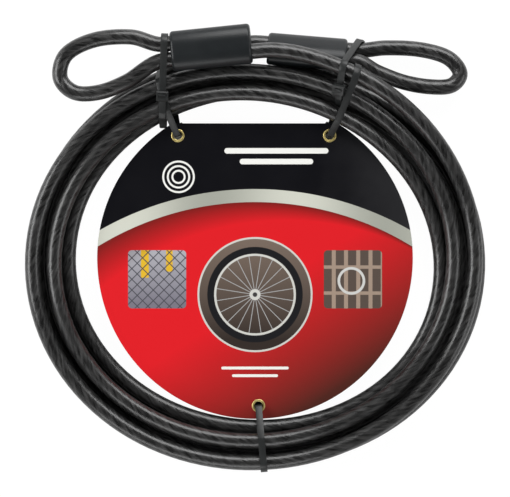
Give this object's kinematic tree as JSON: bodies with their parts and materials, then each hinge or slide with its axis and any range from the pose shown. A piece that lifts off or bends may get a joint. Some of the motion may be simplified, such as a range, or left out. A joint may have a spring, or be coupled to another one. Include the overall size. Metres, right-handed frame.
{
  "type": "cable lock",
  "caption": "Jacketed steel security cable with a crimped loop at each end, wound flat and tied with nylon straps through eyelets to a round display card.",
  "frame": {"origin": "Middle of the part's box in X and Y, on the plane it lies on (the backs of the straps).", "axes": "+X runs along the straight top edge of the card to its right, +Y points from the card's middle to that edge, +Z comes out of the printed face."},
  "size_m": [0.2993, 0.2906, 0.0378],
  "materials": {
    "jacket": "dark smoky vinyl over a braided rope",
    "wire_rope": "bare twisted wire",
    "ferrule_metal": "pressed",
    "sleeve_rubber": "satin",
    "printed_card": "coated, printed in plain fields of colour",
    "eyelet_brass": "bright",
    "tie_nylon": "satin",
    "pawl_nylon": "satin"
  },
  "bodies": {
    "lock": {"cable_coil": "jacket", "left_end_loop": "jacket", "right_end_loop": "jacket", "left_standing_core": "wire_rope", "left_dead_core": "wire_rope", "right_standing_core": "wire_rope", "right_dead_core": "wire_rope", "left_ferrule": "ferrule_metal", "right_ferrule": "ferrule_metal", "left_ferrule_sleeve": "sleeve_rubber", "right_ferrule_sleeve": "sleeve_rubber", "left_card_tie": "tie_nylon", "right_card_tie": "tie_nylon", "lower_card_tie": "tie_nylon", "left_loop_tie": "tie_nylon", "right_loop_tie": "tie_nylon"},
    "card": {"display_card": "printed_card", "left_eyelet": "eyelet_brass", "right_eyelet": "eyelet_brass", "lower_eyelet": "eyelet_brass", "left_eyelet_washer": "eyelet_brass", "right_eyelet_washer": "eyelet_brass", "lower_eyelet_washer": "eyelet_brass"},
    "left_card_tie_pawl": {"left_card_tie_pawl": "pawl_nylon"},
    "right_card_tie_pawl": {"right_card_tie_pawl": "pawl_nylon"},
    "lower_card_tie_pawl": {"lower_card_tie_pawl": "pawl_nylon"},
    "left_loop_tie_pawl": {"left_loop_tie_pawl": "pawl_nylon"},
    "right_loop_tie_pawl": {"right_loop_tie_pawl": "pawl_nylon"}
  },
  "joints": [
    {"name": "card_float", "type": "slide", "parent": "lock", "child": "card", "axis": [0, 0, 1], "range_m": [0, 0.0008]},
    {"name": "left_card_tie_pawl_flex", "type": "hinge", "parent": "lock", "child": "left_card_tie_pawl", "pos_m": [-0.0508, 0.07987, 0.00565], "axis": [0.9513, 0.2549, 0.1736], "range_deg": [0, 10], "stiffness_Nm_per_rad": 0.001},
    {"name": "right_card_tie_pawl_flex", "type": "hinge", "parent": "lock", "child": "right_card_tie_pawl", "pos_m": [0.04965, 0.08039, 0.00606], "axis": [0.9366, -0.3043, -0.1736], "range_deg": [0, 10], "stiffness_Nm_per_rad": 0.001},
    {"name": "lower_card_tie_pawl_flex", "type": "hinge", "parent": "lock", "child": "lower_card_tie_pawl", "pos_m": [0.0026, -0.10591, 0.00426], "axis": [-0.9962, -0.0872, 0], "range_deg": [0, 10], "stiffness_Nm_per_rad": 0.001},
    {"name": "left_loop_tie_pawl_flex", "type": "hinge", "parent": "lock", "child": "left_loop_tie_pawl", "pos_m": [-0.05975, 0.09693, 0.03001], "axis": [0.9994, -0.0349, 0], "range_deg": [0, 10], "stiffness_Nm_per_rad": 0.001},
    {"name": "right_loop_tie_pawl_flex", "type": "hinge", "parent": "lock", "child": "right_loop_tie_pawl", "pos_m": [0.05414, 0.10182, 0.02877], "axis": [0.9372, -0.2511, 0.2419], "range_deg": [0, 10], "stiffness_Nm_per_rad": 0.001}
  ]
}
